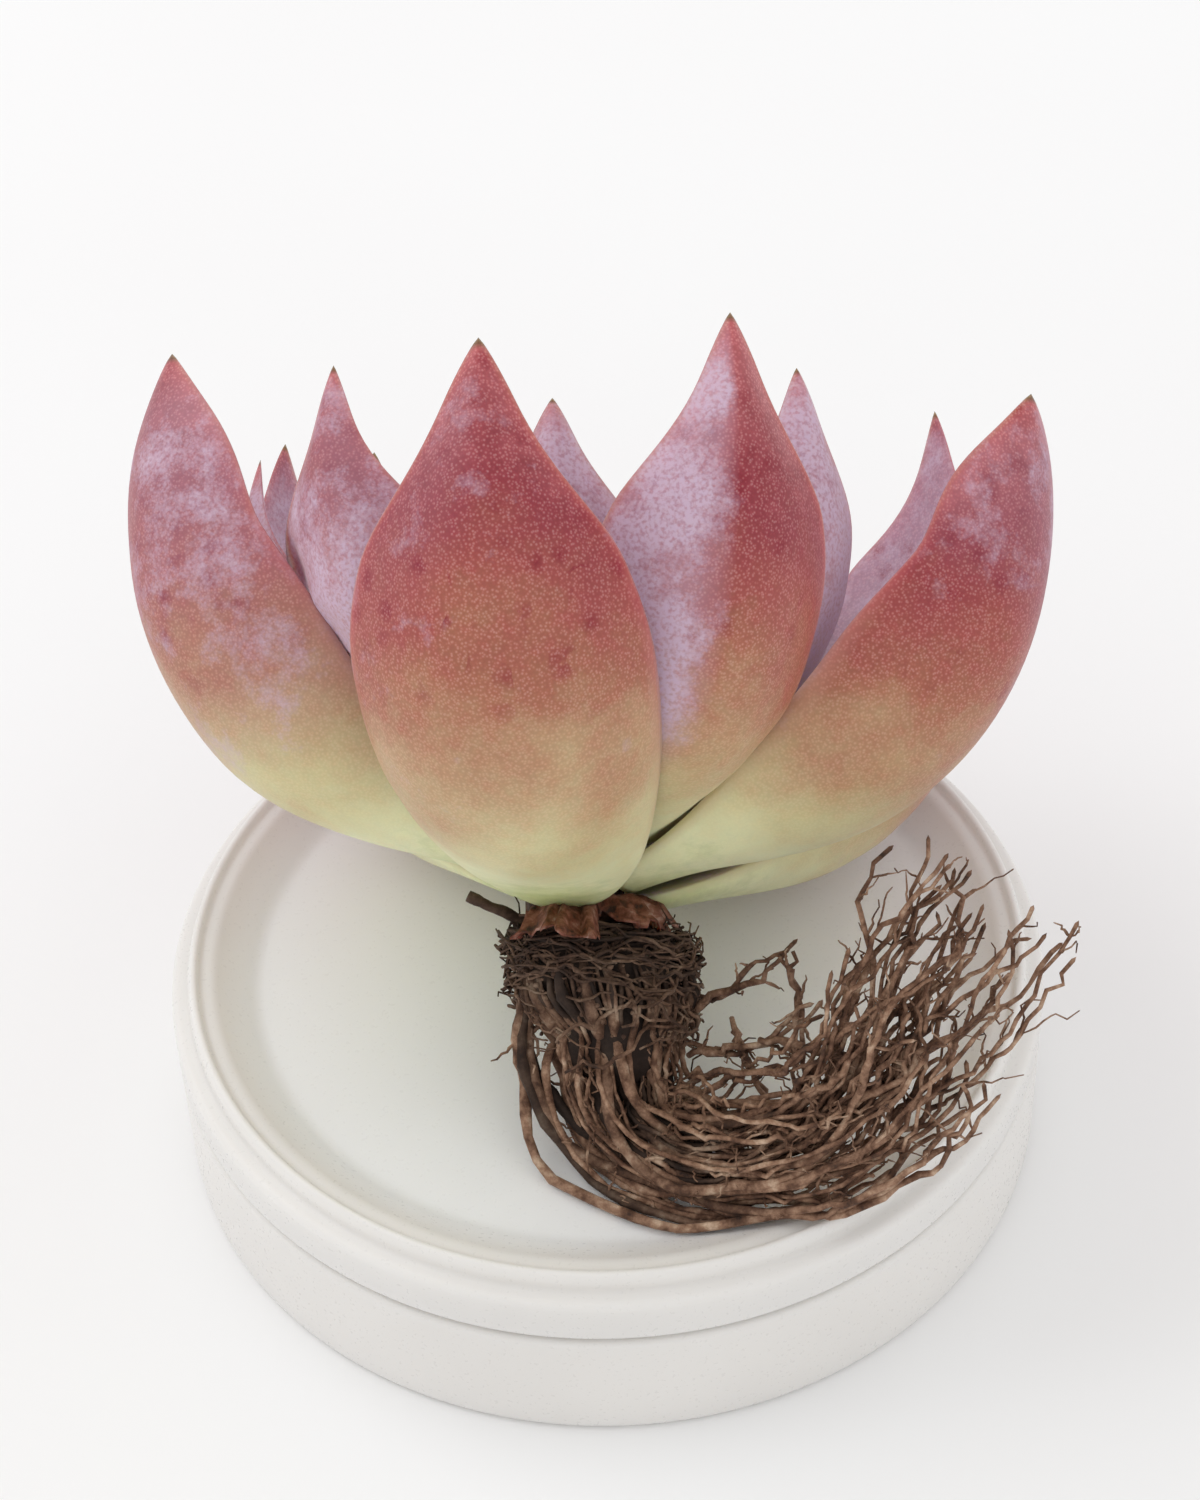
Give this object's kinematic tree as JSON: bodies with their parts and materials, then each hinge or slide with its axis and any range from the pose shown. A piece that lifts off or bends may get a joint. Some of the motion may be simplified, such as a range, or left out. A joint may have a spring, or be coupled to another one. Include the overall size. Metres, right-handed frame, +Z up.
{
  "type": "bare-rooted succulent rosette on a lidded tub",
  "caption": "Fleshy rosette succulent with bare roots that leans back on the recessed lid of a low round tub",
  "frame": {"origin": "the centre of the tub's flat underside", "axes": "+Z up; the rosette leans back towards +Y, and its roots hang over the lid on the -Y side, the front, sweeping towards +X"},
  "size_m": [0.055, 0.0611, 0.0628],
  "materials": {
    "tub_plastic": "milky, slightly see-through polypropylene",
    "lid_plastic": "milky, slightly see-through polypropylene",
    "stem_bark": "rough bark",
    "leaf_skin": "waxy, fine-grained living leaf",
    "root_bark": "rough dry root bark",
    "dry_leaf": "dry and papery"
  },
  "bodies": {
    "root": {"tub": "tub_plastic", "lid": "lid_plastic", "stem": "stem_bark", "bud": "leaf_skin", "leaf_01": "leaf_skin", "leaf_02": "leaf_skin", "leaf_03": "leaf_skin", "leaf_04": "leaf_skin", "leaf_05": "leaf_skin", "leaf_06": "leaf_skin", "leaf_07": "leaf_skin", "leaf_08": "leaf_skin", "leaf_09": "leaf_skin", "leaf_10": "leaf_skin", "leaf_11": "leaf_skin", "leaf_12": "leaf_skin", "leaf_13": "leaf_skin", "leaf_14": "leaf_skin", "leaf_15": "leaf_skin", "leaf_16": "leaf_skin", "leaf_17": "leaf_skin", "leaf_18": "leaf_skin", "leaf_19": "leaf_skin", "leaf_20": "leaf_skin", "leaf_21": "leaf_skin", "leaf_22": "leaf_skin", "leaf_23": "leaf_skin", "leaf_24": "leaf_skin", "root_crown": "root_bark", "root_01": "root_bark", "root_02": "root_bark", "root_03": "root_bark", "root_04": "root_bark", "root_05": "root_bark", "root_06": "root_bark", "root_07": "root_bark", "root_08": "root_bark", "root_09": "root_bark", "root_10": "root_bark", "root_11": "root_bark", "root_12": "root_bark", "root_13": "root_bark", "root_14": "root_bark", "flake_1": "dry_leaf", "flake_2": "dry_leaf", "flake_3": "dry_leaf", "dry_stalk": "dry_leaf"}
  },
  "joints": []
}
